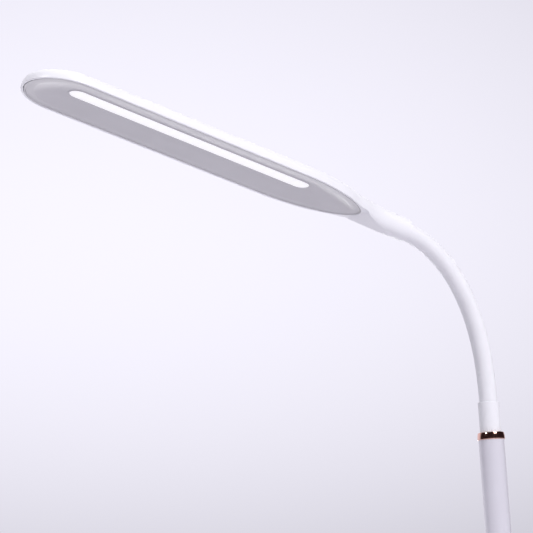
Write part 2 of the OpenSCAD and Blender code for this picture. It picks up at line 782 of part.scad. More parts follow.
// the edge wall with its bead, the upper side of border and dish, the ledge and the slot's edge,
// then the face of dish and border
function tray_profile(k) = concat(
  [
    at_n(tray_outer(k, -tray_gap), -rim_drop),
    at_n(tray_outer(k, -tray_gap), lip_top + bead_gap),
    at_n(tray_outer(k, bead_over), lip_top + bead_gap + bead_slope),
    at_n(tray_outer(k, bead_over), lip_top + tray_wall_h - 2 * bead_slope),
    at_n(tray_outer(k, -tray_gap), lip_top + tray_wall_h),
    at_n(tray_outer(k, -tray_gap - tray_wall_t), lip_top + tray_wall_h),
    at_n(tray_outer(k, -tray_gap - tray_wall_t), border_n + tray_t)
  ],
  [for (i = [0:dish_steps - 2]) tray_point(k, i / dish_steps, dish(i / dish_steps) + tray_t)],
  [
    at_n(slot_outer(k, ledge_w), ledge_n),
    at_n(slot_outer(k, 0), ledge_n),
    at_n(slot_outer(k, 0), bezel_n),
    at_n(slot_outer(k, bezel_w), bezel_n),
    at_n(slot_outer(k, bezel_w), dish_end_n)
  ],
  [for (i = [dish_steps - 1:-1:0]) tray_point(k, i / dish_steps, dish(i / dish_steps))],
  [
    at_n(tray_outer(k, -tray_gap - tray_wall_t), border_n),
    at_n(tray_outer(k, -tray_gap - tray_wall_t), -rim_drop)
  ]
);
tray_n = len(tray_profile(0));

module head_tray() {
  color("lightgray") in_head() polyhedron(
    points = [for (k = [0:tray_rows - 1]) each tray_profile(k)],
    faces = [
      for (k = [0:tray_rows - 1], i = [0:tray_n - 1])
        let(
          k2 = (k + 1) % tray_rows,
          i2 = (i + 1) % tray_n,
          a = k * tray_n + i, b = k2 * tray_n + i, c = k2 * tray_n + i2, d = k * tray_n + i2
        )
        each [[a, b, c], [a, c, d]]
    ],
    convexity = 8
  );
}

// ---- light engine: flat pieces stacked on the tray, along the slot ----

// a bar with round ends, over the slot, grown by d, from height n up by h
module slot_bar(d, n, h) {
  translate([n, 0, strip_mid]) rotate([0, 90, 0]) linear_extrude(h) {
    square([strip_l - strip_w, strip_w + 2 * d], center = true);
    for (s = [-1, 1]) translate([s * (strip_l - strip_w) / 2, 0]) circle(strip_r + d);
  }
}

module diffuser() {
  color("white") in_head() {
    slot_bar(-frame_gap, strip_n, light_n - strip_n + tiny);
    slot_bar(flange_w, light_n, diffuser_flange_t);
  }
}

module at_light_screws(n) {
  from_mid = strip_l / 2 + flange_w + frame_gap + light_screw_out;
  for (s = [-1, 1]) translate([n, 0, strip_mid + s * from_mid]) rotate([0, 90, 0]) children();
}

module light_frame() {
  color("white") in_head() difference() {
    union() {
      slot_bar(flange_w + frame_gap + frame_t, light_n, frame_h);
      at_light_screws(light_n) cylinder(h = frame_h, d = light_boss_d);
    }
    slot_bar(flange_w + frame_gap, ledge_n - 1, frame_h + 2);
    at_light_screws(ledge_n) cylinder(h = frame_h + 1, d = light_screw_d);
  }
}

// a flat bar over the whole strip, with holes for the two screws
module light_bar(n, h) {
  difference() {
    translate([n, -bar_hw, strip_from - bar_over]) cube([h, 2 * bar_hw, strip_l + 2 * bar_over]);
    at_light_screws(n - 1) cylinder(h = h + 2, d = light_screw_d + slide_gap);
  }
}

module led_board() {
  color("seashell") in_head() light_bar(led_board_n, led_board_t);
}

module leds() {
  color("khaki") in_head()
    for (k = [0:led_count - 1])
      translate([led_board_n - led_h, -led_w / 2, strip_from + strip_l * (k + 0.5) / led_count - led_l / 2])
        cube([led_h, led_w, led_l]);
}

module heat_plate() {
  color("silver") in_head() light_bar(heat_n, heat_t);
}

module light_screws() {
  color("silver") in_head() {
    at_light_screws(heat_top) cylinder(h = light_head_h, d = light_head_d);
    at_light_screws(light_n + slide_gap)
      cylinder(h = heat_top - light_n - slide_gap + tiny, d = light_screw_shank_d);
  }
}

module lead_terminal() {
  color("white") in_head() translate([light_n, -terminal_w / 2, terminal_face])
    cube([heat_n - light_n, terminal_w, terminal_l]);
}

module neck_anchor() {
  color("silver") in_head() difference() {
    translate([0, 0, anchor_z]) cylinder(h = anchor_len, r = neck_r);
    cylinder(h = anchor_z + anchor_len + 1, r = core_r + seat_gap);
  }
}

// ================= leads =================

function unit(v) = v / norm(v);

// rings of a round lead along its points; the sideways direction stays square to each stretch
function lead_ring(p, k, r) =
  let(
    ahead = unit(p[min(k + 1, len(p) - 1)] - p[max(k - 1, 0)]),
    side = unit(cross(ahead, abs(ahead[1]) > 0.9 ? [1, 0, 0] : [0, 1, 0])),
    up = cross(side, ahead)
  )
  [for (j = [0:lead_sides - 1]) let(a = 360 * j / lead_sides) p[k] + r * (cos(a) * side + sin(a) * up)];

module lead_tube(p, d) {
  n = len(p);
  m = lead_sides;
  polyhedron(
    points = [for (k = [0:n - 1]) each lead_ring(p, k, d / 2)],
    faces = concat(
      [[for (j = [0:m - 1]) m - 1 - j]],
      [for (k = [0:n - 2], j = [0:m - 1])
        let(j2 = (j + 1) % m, a = k * m + j, b = k * m + j2)
        each [[a, b, b + m], [a, b + m, a + m]]],
      [[for (j = [0:m - 1]) (n - 1) * m + j]]
    )
  );
}

// place on the neck's axis in the middle of segment i, and beside its joint on the inside of the bend
function mid_link(i) = link_start(i) + seen_len(i) / 2 * along(lean(i));
function near_joint(i) = (mid_link(i - 1) + 2 * link_start(i) + mid_link(i)) / 4;
function from_head(p) = head_at + [
  p[0] * cos(head_lean) - p[2] * sin(head_lean),
  p[1],
  p[0] * sin(head_lean) + p[2] * cos(head_lean)
];
base_route = [
  [board_end + tiny, 0, lead_z - 1], [6, 0, lead_z - 0.8], [14, 0, lead_z - 0.2], [22, 0, lead_z],
  [pole_x - 12, 0, lead_z], [pole_x - 8, 0, lead_z + 0.3], [pole_x - 4.5, 0, lead_z + 1.8],
  [pole_x - 2, 0, lead_z + 4.4], [pole_x - 0.5, 0, lead_z + 8], [pole_x, 0, rise_z]
];
pole_steps = 22;
pole_route = [for (k = [1:pole_steps]) [pole_x, 0, mix(rise_z, neck_z, k / pole_steps)]];
neck_route = [for (i = [1:links - 1]) each [near_joint(i), mid_link(i)]];
terminal_mid = (light_n + heat_n) / 2;
head_route = [for (p = [
  [0, 0, 10], [0, 0, 18], [0.2, 0, 26], [1.2, 0, 34], [2.8, 0, 42], [4.6, 0, 50],
  [terminal_mid - 0.5, 0, 58], [terminal_mid, 0, terminal_face - 6], [terminal_mid, 0, terminal_face]
]) from_head(p)];

module lamp_lead() {
  color("gainsboro") lead_tube(concat(base_route, pole_route, neck_route, head_route), lead_d);
}

inlet_route = [
  [inlet_back - tiny, 0, inlet_z], [inlet_back - 4, 0, inlet_z + 0.4], [inlet_back - 7, 1, inlet_z + 3],
  [inlet_back - 9, 3, lead_z - 0.6], [inlet_back - 14, 8, lead_z], [pole_x + 6, pole_r + 4, lead_z],
  [pole_x - 4, pole_r + 5, lead_z], [28, 13, lead_z], [14, inlet_side, lead_z - 0.2],
  [6, inlet_side, lead_z - 0.8], [board_end + tiny, inlet_side, lead_z - 1]
];

module inlet_lead() {
  color("dimgray") lead_tube(inlet_route, inlet_lead_d);
}

// ================= nodes =================

foot_pad();
base_plate();
plate_screws();
base_weight();
base_cover();
control_board();
board_chips();
board_screws();
inlet_socket();
inlet_lead();
switch_body();
switch_plunger();
power_button();
pole();
pole_plug();
pole_washer();
pole_nut();
pole_bush();
bush_set_screw();
accent_ring();
neck_ferrule();
lamp_lead();
sleeve(1);  // sleeve_01
sleeve(2);  // sleeve_02
sleeve(3);  // sleeve_03
sleeve(4);  // sleeve_04
sleeve(5);  // sleeve_05
sleeve(6);  // sleeve_06
sleeve(7);  // sleeve_07
sleeve(8);  // sleeve_08
sleeve(9);  // sleeve_09
sleeve(10);  // sleeve_10
sleeve(11);  // sleeve_11
sleeve(12);  // sleeve_12
sleeve(13);  // sleeve_13
core(1);  // core_01
core(2);  // core_02
core(3);  // core_03
core(4);  // core_04
core(5);  // core_05
core(6);  // core_06
core(7);  // core_07
core(8);  // core_08
core(9);  // core_09
core(10);  // core_10
core(11);  // core_11
core(12);  // core_12
core(13);  // core_13
neck_anchor();
head_shell();
head_tray();
diffuser();
light_frame();
led_board();
leds();
heat_plate();
light_screws();
lead_terminal();
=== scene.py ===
"""Gooseneck desk lamp: finishes, smooth mouldings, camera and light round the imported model."""

import json
import math

import bmesh
import bpy
from mathutils import Matrix, Vector


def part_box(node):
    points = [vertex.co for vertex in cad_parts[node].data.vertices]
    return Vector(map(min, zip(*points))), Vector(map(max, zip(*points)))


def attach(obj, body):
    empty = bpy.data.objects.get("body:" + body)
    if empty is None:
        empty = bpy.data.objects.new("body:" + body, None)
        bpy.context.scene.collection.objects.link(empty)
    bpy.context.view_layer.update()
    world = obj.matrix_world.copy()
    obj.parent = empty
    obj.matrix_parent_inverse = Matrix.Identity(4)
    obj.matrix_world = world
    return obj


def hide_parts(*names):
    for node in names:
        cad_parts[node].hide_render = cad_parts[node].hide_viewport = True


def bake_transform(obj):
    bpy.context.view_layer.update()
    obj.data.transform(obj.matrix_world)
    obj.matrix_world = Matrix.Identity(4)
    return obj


MM = 0.001

# ---- sizes of the mouldings, in millimetres, as in the part's source; a POWER sets how full
# a curve is, a SHARE is a part of a whole ----
NECK_BEND = 75.3
NECK_RADIUS = 6.35
SLEEVE_BORE = 4.75
LEAD_RADIUS = 1.3
COLLAR_RADIUS = 8.0
COLLAR_RISE = 1.0
COLLAR_BLEND = 4.0
FLAT_SHARE = math.cos(math.radians(7.2))
BORE_RADIUS = 6.4 / FLAT_SHARE
BORE_END = 14.0
BORE_RAMP = 8.0
RIM_LENGTH = 257.6
RIM_HALF = 26.9
NECK_TO_RIM = 41.4
TIP_LENGTH = 27.1
TAPER_LENGTH = 60.9
TAPER_POWER = 1.83
TIP_POWER = 1.94
SECTION_POWER = 2.9
BODY_POWER = 1.29
NOSE_LENGTH = 26.0
EDGE_BLEND = 1.5
SHELL_WALL = 1.1
LIP_WIDTH = 1.6
CROWN = 10.2
TIP_CROWN = 9.2
RISE_START = 11.4
RISE_LENGTH = 23.9
RIM_DROP = 1.4
FACET_LENGTH = 27.0
FACET_POWER = 0.7
TRAY_GAP = 0.45
TRAY_WALL = 1.0
EDGE_WALL = 0.8
BORDER_WIDTH = 5.0
BORDER_RISE = 0.5
CREASE = 0.3
EDGE_RISE = 1.1
BEZEL_WIDTH = 1.0
BEZEL_HEIGHT = 0.35
BEZEL_PROUD = 0.4
LEDGE_WIDTH = 4.2
LEDGE_DEPTH = 0.65
STRIP_DEPTH = 4.8
STRIP_HALF = 6.1
STRIP_START = 43.8
STRIP_MARGIN = 29.4
LED_COUNT = 24

RIM_START = NECK_TO_RIM
BOXY_START = RIM_START - 4.0
BOXY_LENGTH = 26.0
TAPER_END = RIM_START + TAPER_LENGTH
TIP_START = RIM_START + RIM_LENGTH - TIP_LENGTH
STRIP_FACE = STRIP_DEPTH - RIM_DROP
BEZEL_FACE = STRIP_FACE - BEZEL_PROUD
STRIP_FROM = RIM_START + STRIP_START
STRIP_TO = RIM_START + RIM_LENGTH - STRIP_MARGIN

# rows and sides of the fine meshes, and the distance at which two points are one
COLLAR_ROWS = 41
TAPER_ROWS = 26
SIDE_ROWS = 10
TIP_ROWS = 48
ARC_STEPS = 22
DISH_STEPS = 20
BACK_STEPS = 14
DISH_START = 0.02
LATHE_SIDES = 128
TUBE_SIDES = 48
LEAD_SIDES = 12
BEND_STEPS = 14
STIFF_END = 0.08
JOIN_DISTANCE = 0.0005

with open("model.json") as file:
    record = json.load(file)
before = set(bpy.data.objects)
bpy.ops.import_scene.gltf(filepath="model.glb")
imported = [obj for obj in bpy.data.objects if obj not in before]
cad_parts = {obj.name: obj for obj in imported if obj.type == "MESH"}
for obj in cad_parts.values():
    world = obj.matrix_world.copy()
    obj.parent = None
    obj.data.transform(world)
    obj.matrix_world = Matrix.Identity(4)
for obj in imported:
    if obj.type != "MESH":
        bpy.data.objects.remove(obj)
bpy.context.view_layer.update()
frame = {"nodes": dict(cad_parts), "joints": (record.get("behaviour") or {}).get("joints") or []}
nodes = frame["nodes"]


# ======================= shader maths =======================


class Field:
    """A socket whose value changes over a surface, taking part in plain sums."""

    def __init__(self, shader, socket):
        self.shader = shader
        self.socket = socket

    def math(self, operation, *values):
        """One step of a sum, on fields and plain numbers."""
        return self.shader.node("ShaderNodeMath", {"operation": operation}, dict(enumerate(values)))

    def __add__(self, other):
        return self.math("ADD", self, other)

    def __sub__(self, other):
        return self.math("SUBTRACT", self, other)

    def __rsub__(self, other):
        return self.math("SUBTRACT", other, self)

    def __mul__(self, other):
        return self.math("MULTIPLY", self, other)

    def __truediv__(self, other):
        return self.math("DIVIDE", self, other)

    __radd__ = __add__
    __rmul__ = __mul__

    def clipped(self, low=0.0, high=1.0):
        """The value held between two bounds."""
        return self.math("MINIMUM", self.math("MAXIMUM", self, low), high)


class Shader:
    """The node tree of one material or of the world."""

    def __init__(self, owner):
        owner.use_nodes = True
        self.owner = owner
        self.tree = owner.node_tree
        self.tree.nodes.clear()

    def node(self, kind, settings=None, inputs=None, out=0):
        """Adds one node: settings go on first, then the values or links of its sockets."""
        made = self.tree.nodes.new(kind)
        for name, value in (settings or {}).items():
            setattr(made, name, value)
        for name, value in (inputs or {}).items():
            self.put(made.inputs[name], value)
        return Field(self, made.outputs[out]) if made.outputs else None

    def put(self, socket, value):
        """Links a field to a socket, or sets the socket to a plain value."""
        if isinstance(value, Field):
            self.tree.links.new(value.socket, socket)
        elif isinstance(value, (tuple, list, Vector)) and socket.type == "RGBA":
            socket.default_value = (*value[:3], 1.0)
        else:
            socket.default_value = value

    def place(self):
        """Object coordinates, in metres."""
        return self.node("ShaderNodeTexCoord", out="Object")

    def stretched(self, scale):
        """Object coordinates stretched by three factors."""
        return self.node("ShaderNodeMapping", None, {"Vector": self.place(), "Scale": scale})

    def noise(self, size, detail=2.0, rough=0.5, at=None):
        """Noise from 0 to 1, with features of about size millimetres."""
        inputs = {
            "Vector": at or self.place(),
            "Scale": 1000.0 / size,
            "Detail": detail,
            "Roughness": rough,
        }
        return self.node("ShaderNodeTexNoise", None, inputs, "Fac")

    def mix(self, share, first, second):
        """A colour between two."""
        settings = {"data_type": "RGBA", "clamp_factor": True}
        return self.node("ShaderNodeMix", settings, {0: share, 6: first, 7: second}, 2)

    def share(self, value, low, high):
        """How far a value is from low, 0, to high, 1, and no further."""
        inputs = {0: value, 1: low, 2: high, 3: 0.0, 4: 1.0}
        return self.node("ShaderNodeMapRange", {"clamp": True}, inputs)

    def mottled(self, cloud, low, high, shade, darker):
        """A shade that goes darker, to a given part of itself, as the cloud goes from low to high."""
        return self.mix(self.share(cloud, low, high), shade, tuple(c * darker for c in shade))

    def bump(self, height, distance, strength, under=None):
        """A normal from a height of 0 to 1 that stands for distance millimetres."""
        inputs = {"Height": height, "Distance": distance * MM, "Strength": strength}
        if under is not None:
            inputs["Normal"] = under
        return self.node("ShaderNodeBump", None, inputs)

    def dot(self, vector, direction):
        """How far a vector reaches along a direction."""
        settings = {"operation": "DOT_PRODUCT"}
        return self.node("ShaderNodeVectorMath", settings, {0: vector, 1: direction}, "Value")

    def axis(self, vector, out):
        """One of the three parts of a vector or a colour."""
        return self.node("ShaderNodeSeparateXYZ", None, {0: vector}, out)

    def surface(self, **sockets):
        """The material's main shader, with sockets named by words joined by underscores."""
        names = {name.replace("_", " "): value for name, value in sockets.items()}
        made = self.node("ShaderNodeBsdfPrincipled", None, names)
        self.node("ShaderNodeOutputMaterial", None, {"Surface": made})
        return self.owner


def shader(name):
    """The node tree of a new material."""
    return Shader(bpy.data.materials.new(name))


def linear(*shade):
    """A display colour of 0 to 255 as linear light."""
    return tuple(
        c / 255 / 12.92 if c <= 10.3 else ((c / 255 + 0.055) / 1.055) ** 2.4 for c in shade
    )


# ======================= finishes =======================


def moulded_white(name, shade, rough):
    """Glossy or satin white plastic: faint flow marks, a fine moulded skin and handling smudges."""
    s = shader(name)
    flow = s.noise(38.0, 3.0, 0.55)
    smudge = s.noise(9.0, 4.0, 0.65)
    skin = s.noise(0.35, 2.0, 0.6)
    colour = s.mottled(flow, 0.35, 0.65, shade, 0.975)
    return s.surface(
        Base_Color=colour,
        Roughness=rough + 0.10 * (smudge - 0.5),
        Normal=s.bump(skin, 0.004, 0.35),
        IOR=1.49,
    )


def tray_grey():
    """Matt light-grey plastic with a fine eroded grain."""
    s = shader("tray_grey")
    grain = s.noise(0.28, 3.0, 0.7)
    cloud = s.noise(24.0, 3.0, 0.5)
    colour = s.mottled(cloud, 0.35, 0.65, linear(209, 207, 213), 0.965)
    return s.surface(
        Base_Color=colour,
        Roughness=0.44 + 0.12 * (grain - 0.5),
        Normal=s.bump(grain, 0.008, 0.4),
        IOR=1.47,
    )


def lit_opal():
    """Opal diffuser with the light on: even white, a touch brighter over each light source."""
    s = shader("lit_opal")
    along = s.dot(s.place(), HEAD_ALONG)
    pitch = (STRIP_TO - STRIP_FROM) * MM / LED_COUNT
    wave = s.node("ShaderNodeMath", {"operation": "SINE"}, {0: along * (2 * math.pi / pitch)})
    glow = 0.5 + 0.5 * wave
    colour = s.mix(glow, linear(252, 250, 255), linear(255, 255, 255))
    return s.surface(
        Base_Color=linear(180, 179, 184),
        Roughness=0.35 + 0.05 * s.noise(0.6),
        Emission_Color=colour,
        Emission_Strength=0.64,
    )


def silicone_white():
    """Smooth white silicone with a little lint and a soft sheen."""
    s = shader("silicone_white")
    lint = s.noise(0.9, 3.0, 0.7)
    cloud = s.noise(14.0, 3.0, 0.55)
    colour = s.mottled(cloud, 0.3, 0.7, linear(240, 239, 246), 0.97)
    return s.surface(
        Base_Color=colour,
        Roughness=0.46 + 0.12 * (cloud - 0.5),
        Normal=s.bump(lint, 0.003, 0.2),
        Subsurface_Weight=0.06,
        Subsurface_Radius=(0.002, 0.0018, 0.0018),
        IOR=1.41,
    )


def lacquer_white():
    """Gloss white lacquer on steel, with a slight orange peel under the clear coat."""
    s = shader("lacquer_white")
    peel = s.noise(1.6, 2.0, 0.5)
    haze = s.noise(17.0, 4.0, 0.6)
    colour = s.mottled(haze, 0.35, 0.65, linear(222, 219, 230), 0.98)
    return s.surface(
        Base_Color=colour,
        Roughness=0.30 + 0.08 * (haze - 0.5),
        Normal=s.bump(peel, 0.005, 0.3),
        Coat_Weight=0.9,
        Coat_Roughness=0.06,
        IOR=1.5,
    )


def rose_gold():
    """Polished rose-gold plate with very fine turning marks round the ring."""
    s = shader("rose_gold")
    turned = s.noise(0.12, 2.0, 0.5, s.stretched((0.03, 0.03, 1.0)))
    wipe = s.noise(3.5, 4.0, 0.6)
    colour = s.mix(s.share(wipe, 0.3, 0.7), (0.80, 0.46, 0.38), (0.86, 0.55, 0.47))
    return s.surface(
        Base_Color=colour,
        Metallic=1.0,
        Roughness=0.10 + 0.10 * (wipe - 0.3).clipped(),
        Normal=s.bump(turned, 0.002, 0.3),
    )


def plated_steel(name, shade=(0.60, 0.61, 0.63), rough=0.3):
    """Zinc-plated steel: cloudy spangle and fine scratches."""
    s = shader(name)
    spangle = s.node(
        "ShaderNodeTexVoronoi", {"feature": "F1"}, {"Vector": s.place(), "Scale": 420.0}, "Color"
    )
    cloud = s.axis(spangle, 0)
    scratch = s.noise(0.2, 2.0, 0.6, s.stretched((1.0, 0.06, 1.0)))
    colour = s.mix(cloud, shade, tuple(c * 0.86 for c in shade))
    return s.surface(
        Base_Color=colour,
        Metallic=1.0,
        Roughness=rough + 0.12 * (scratch - 0.5),
        Normal=s.bump(scratch, 0.003, 0.4),
    )


def turned_aluminium():
    """Turned or rolled aluminium with fine lines."""
    s = shader("turned_aluminium")
    lines = s.noise(0.15, 2.0, 0.5, s.stretched((0.05, 1.0, 1.0)))
    colour = s.mix(lines, (0.74, 0.75, 0.77), (0.83, 0.84, 0.85))
    return s.surface(
        Base_Color=colour,
        Metallic=1.0,
        Roughness=0.28 + 0.15 * (lines - 0.5),
        Normal=s.bump(lines, 0.003, 0.4),
    )


def cast_iron():
    """Rough cast iron under thin black paint."""
    s = shader("cast_iron")
    sand = s.noise(0.8, 4.0, 0.7)
    rust = s.share(s.noise(11.0, 5.0, 0.65), 0.62, 0.78)
    colour = s.mix(rust, (0.035, 0.035, 0.038), (0.12, 0.055, 0.03))
    return s.surface(
        Base_Color=colour,
        Roughness=0.62 + 0.2 * (sand - 0.5),
        Normal=s.bump(sand, 0.12, 0.8),
    )


def foot_rubber():
    """Dark foamed rubber with open pores."""
    s = shader("foot_rubber")
    pores = s.node(
        "ShaderNodeTexVoronoi", {"feature": "F1"}, {"Vector": s.place(), "Scale": 1300.0}, "Distance"
    )
    cloud = s.noise(15.0, 3.0, 0.5)
    colour = s.mix(cloud, (0.018, 0.018, 0.02), (0.035, 0.035, 0.038))
    return s.surface(
        Base_Color=colour,
        Roughness=0.82 + 0.1 * (cloud - 0.5),
        Normal=s.bump(pores, 0.1, 0.6),
    )


def board_mask(name, shade, trace):
    """Circuit board with a solder mask over copper tracks."""
    s = shader(name)
    tracks = s.node(
        "ShaderNodeTexBrick",
        {"offset": 0.35, "squash": 1.4},
        {
            "Vector": s.place(),
            "Scale": 160.0,
            "Mortar Size": 0.035,
            "Color1": (0, 0, 0),
            "Color2": (0, 0, 0),
            "Mortar": (1, 1, 1),
        },
        "Color",
    )
    mask = s.axis(tracks, 0)
    weave = s.noise(0.7, 2.0, 0.5)
    return s.surface(
        Base_Color=s.mix(mask, shade, trace),
        Roughness=0.34 + 0.1 * (weave - 0.5),
        Normal=s.bump(mask, 0.03, 0.5, s.bump(weave, 0.004, 0.3)),
    )


def dark_moulding():
    """Black moulded plastic with a fine matt grain."""
    s = shader("dark_moulding")
    grain = s.noise(0.3, 3.0, 0.7)
    cloud = s.noise(6.0)
    return s.surface(
        Base_Color=s.mix(cloud, (0.016, 0.016, 0.018), (0.03, 0.03, 0.033)),
        Roughness=0.45 + 0.15 * (grain - 0.5),
        Normal=s.bump(grain, 0.01, 0.5),
    )


def phosphor():
    """Yellow phosphor of the light sources."""
    s = shader("phosphor")
    grain = s.noise(0.25, 2.0, 0.6)
    return s.surface(
        Base_Color=s.mix(grain, (0.85, 0.62, 0.12), (0.92, 0.74, 0.22)),
        Roughness=0.4 + 0.1 * grain,
        Emission_Color=(1.0, 0.92, 0.8),
        Emission_Strength=2.0,
    )


def lead_sheath():
    """Grey sheath of the inner leads."""
    s = shader("lead_sheath")
    cloud = s.noise(5.0, 3.0, 0.6)
    return s.surface(
        Base_Color=s.mix(cloud, (0.55, 0.55, 0.56), (0.63, 0.63, 0.64)),
        Roughness=0.42 + 0.1 * (cloud - 0.5),
        Normal=s.bump(s.noise(0.5), 0.006, 0.4),
    )


# ======================= mesh making =======================


def piece(name, points, faces, material, bevel=0.0, smooth=40.0):
    """A closed mesh from points in metres; close points are joined and sharp edges rounded."""
    mesh = bpy.data.meshes.new(name)
    mesh.from_pydata([tuple(p) for p in points], [], faces)
    work = bmesh.new()
    work.from_mesh(mesh)
    bmesh.ops.remove_doubles(work, verts=work.verts, dist=JOIN_DISTANCE * MM)
    bmesh.ops.dissolve_degenerate(work, edges=work.edges, dist=JOIN_DISTANCE * MM)
    bmesh.ops.recalc_face_normals(work, faces=work.faces)
    work.to_mesh(mesh)
    work.free()
    mesh.materials.append(material)
    made = bpy.data.objects.new(name, mesh)
    bpy.context.scene.collection.objects.link(made)
    for polygon in mesh.polygons:
        polygon.use_smooth = True
    mesh.set_sharp_from_angle(angle=math.radians(smooth))
    if bevel:
        edge = made.modifiers.new("edge", "BEVEL")
        edge.width = bevel * MM
        edge.segments = 3
        edge.limit_method = "ANGLE"
        edge.angle_limit = math.radians(smooth)
        edge.harden_normals = True
    return made


def grid_faces(rows, columns, row_wrap=False, column_wrap=False):
    """Four-sided faces over a grid of points listed row by row."""
    last_row = rows if row_wrap else rows - 1
    last_column = columns if column_wrap else columns - 1
    return [
        (
            r * columns + c,
            (r + 1) % rows * columns + c,
            (r + 1) % rows * columns + (c + 1) % columns,
            r * columns + (c + 1) % columns,
        )
        for r in range(last_row)
        for c in range(last_column)
    ]


def lathe(name, outline, centre, material):
    """A turned piece: a closed outline of (radius, height) in millimetres, about a vertical axis."""
    points = []
    for k in range(LATHE_SIDES):
        turn = 2 * math.pi * k / LATHE_SIDES
        for radius, height in outline:
            offset = Vector((radius * math.cos(turn), radius * math.sin(turn), height))
            points.append(centre + offset * MM)
    faces = grid_faces(LATHE_SIDES, len(outline), row_wrap=True, column_wrap=True)
    return piece(name, points, faces, material)


def tube(name, path, headings, outer, inner, material, sides=TUBE_SIDES):
    """A tube in the plane of the neck, with a wall if inner is above nothing."""
    ring = [2 * math.pi * k / sides for k in range(sides)]
    points = []
    for radius in [outer] + ([inner] if inner else []):
        for at, heading in zip(path, headings):
            side = Vector((0, 1, 0))
            up = side.cross(heading)
            for turn in ring:
                points.append(at + radius * MM * (math.cos(turn) * side + math.sin(turn) * up))
    count = len(path)
    faces = grid_faces(count, sides, column_wrap=True)
    if inner:
        shift = count * sides
        faces += [tuple(shift + i for i in reversed(f)) for f in faces]
        for row in (0, count - 1):
            for k in range(sides):
                a, b = row * sides + k, row * sides + (k + 1) % sides
                faces.append((a, b, b + shift, a + shift))
    else:
        faces += [tuple(range(sides)), tuple((count - 1) * sides + k for k in range(sides))]
    return piece(name, points, faces, material)


# ======================= neck =======================

neck_joints = [joint for joint in frame["joints"] if joint["type"] == "hinge"]
pivots = [Vector(joint["pos_m"]) for joint in neck_joints]
half_pitch = (pivots[1] - pivots[0]).length / 2
lean = math.radians(NECK_BEND)
HEAD_ALONG = Vector((-math.sin(lean), 0, math.cos(lean)))
HEAD_UP = Vector((math.cos(lean), 0, math.sin(lean)))
ferrule_low, ferrule_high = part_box("neck_ferrule")
pole_low, pole_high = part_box("pole")
pole_centre = Vector(((pole_low.x + pole_high.x) / 2, 0, 0))
neck_foot = Vector((pole_centre.x, 0, ferrule_high.z))
head_at = pivots[-1] + half_pitch * HEAD_ALONG


def segment_middles():
    """The neck's foot, the middle between each two pivots, and the mouth of the head's collar."""
    inner = [(a + b) / 2 for a, b in zip(pivots, pivots[1:])]
    return [neck_foot] + inner + [head_at]


def bend_path(first, corner, last, steps):
    """Points and headings along a soft bend from one middle to the next, round a pivot."""
    path, headings = [], []
    for k in range(steps + 1):
        t = k / steps
        path.append((1 - t) ** 2 * first + 2 * t * (1 - t) * corner + t**2 * last)
        headings.append(((1 - t) * (corner - first) + t * (last - corner)).normalized())
    return path, headings


def neck_pieces(sleeve, sheath):
    """The silicone sleeve and the lead inside it, in one length bent round each pivot."""
    middles = segment_middles()
    tucked_in = 5.0 * MM
    top = len(neck_joints) - 1
    for k, joint in enumerate(neck_joints):
        path, headings = bend_path(middles[k], pivots[k], middles[k + 1], BEND_STEPS)
        number = f"{k + 1:02d}"
        lead = tube(f"neck_lead_{number}", path, headings, LEAD_RADIUS, 0, sheath, LEAD_SIDES)
        if k == 0:
            path.insert(0, path[0] - tucked_in * headings[0])
            headings.insert(0, headings[0])
        if k == top:
            path.append(path[-1] + tucked_in * headings[-1])
            headings.append(headings[-1])
        skin = tube(f"neck_sleeve_{number}", path, headings, NECK_RADIUS, SLEEVE_BORE, sleeve)
        inset = STIFF_END * (middles[k + 1] - middles[k])
        for made, slot in ((skin, "silicone_white"), (lead, "lead_grey")):
            middles[k] + inset
            middles[k + 1] - inset
            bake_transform(made)
        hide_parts(f"sleeve_{number}")
        if k == top:
            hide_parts(f"sleeve_{k + 2:02d}")


# ======================= head =======================

HEAD = Matrix(
    (
        (HEAD_UP.x, 0, HEAD_ALONG.x, head_at.x),
        (0, 1, 0, head_at.y),
        (HEAD_UP.z, 0, HEAD_ALONG.z, head_at.z),
        (0, 0, 0, 1),
    )
)


def in_head(up, side, along):
    """A point of the head, in millimetres up through the shell, sideways and towards the tip."""
    return HEAD @ Vector((up * MM, side * MM, along * MM))


def within(t):
    """A share held between 0 and 1."""
    return min(1.0, max(0.0, t))


def ease(t):
    """A share that starts and ends softly."""
    t = within(t)
    return t * t * (3 - 2 * t)


def mix(a, b, t):
    """The size at a share of the way from one to another."""
    return a + (b - a) * t


def soft_max(a, b, blend):
    """The larger of two sizes, with a soft change between them."""
    return max(a, b) + max(blend - abs(a - b), 0.0) ** 2 / (4 * blend)


def taper_point(angle, out):
    """Side and place of the outline's taper, moved out, at an angle from its neck end."""
    side = (RIM_HALF + out) * max(0.0, math.cos(angle)) ** (2 / TAPER_POWER)
    along = TAPER_END - (TAPER_LENGTH + out) * max(0.0, math.sin(angle)) ** (2 / TAPER_POWER)
    return side, along


def tip_point(angle, out):
    """Side and place of the outline's round tip, moved out, at an angle round it."""
    c = math.cos(angle)
    side = (RIM_HALF + out) * math.copysign(abs(c) ** (2 / TIP_POWER), c)
    along = TIP_START + (TIP_LENGTH + out) * max(0.0, math.sin(angle)) ** (2 / TIP_POWER)
    return side, along


def rim_half(z):
    """Half width of the recess at a place before the tip."""
    if z <= RIM_START:
        return 0.0
    if z >= TAPER_END:
        return RIM_HALF
    return RIM_HALF * (1 - ((TAPER_END - z) / TAPER_LENGTH) ** TAPER_POWER) ** (1 / TAPER_POWER)


def even(z, skin):
    """How far a skin has left the collar's round bore: the outer skin, 0, has none."""
    return within((z - BORE_END) / BORE_RAMP) if skin else 1.0


def skin_size(z, skin, bore_size, size):
    """A size of a skin: the bore's in the collar, and the wall's thickness less further on."""
    return mix(bore_size, size - skin * SHELL_WALL, even(z, skin))


